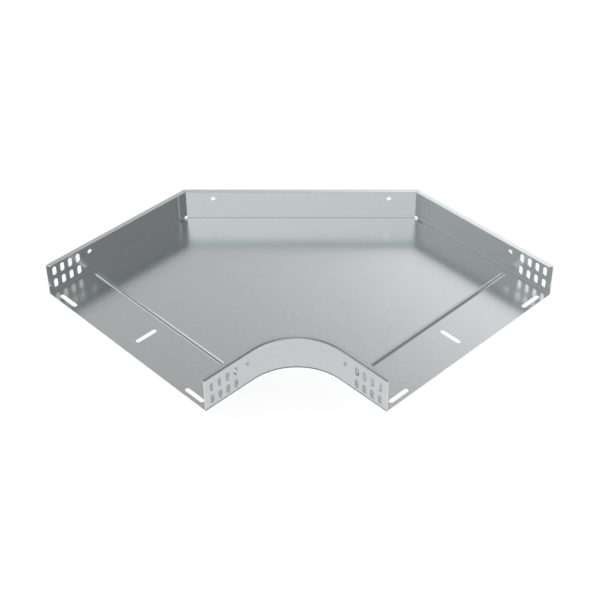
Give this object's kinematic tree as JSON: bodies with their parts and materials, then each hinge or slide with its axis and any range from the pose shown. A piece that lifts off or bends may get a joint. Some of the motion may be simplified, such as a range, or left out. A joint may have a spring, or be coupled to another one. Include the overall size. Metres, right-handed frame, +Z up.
{
  "type": "cable tray bend",
  "caption": "Horizontal right-angle bend for a perforated sheet-steel cable tray, with a curved inner wall, a wall cut across the outer corner and slotted ends.",
  "frame": {"origin": "middle of the bounding box in plan, on the underside of the floor", "axes": "+Z up; one arm runs out along -Y and the other along +X; the outer side walls stand at -X and +Y, and the wall across the outer corner faces -X and +Y"},
  "size_m": [0.6014, 0.6014, 0.064],
  "materials": {
    "galvanised_steel": "bright galvanised, semi-gloss"
  },
  "bodies": {
    "root": {"tray_body": "galvanised_steel", "inner_wall": "galvanised_steel"}
  },
  "joints": []
}
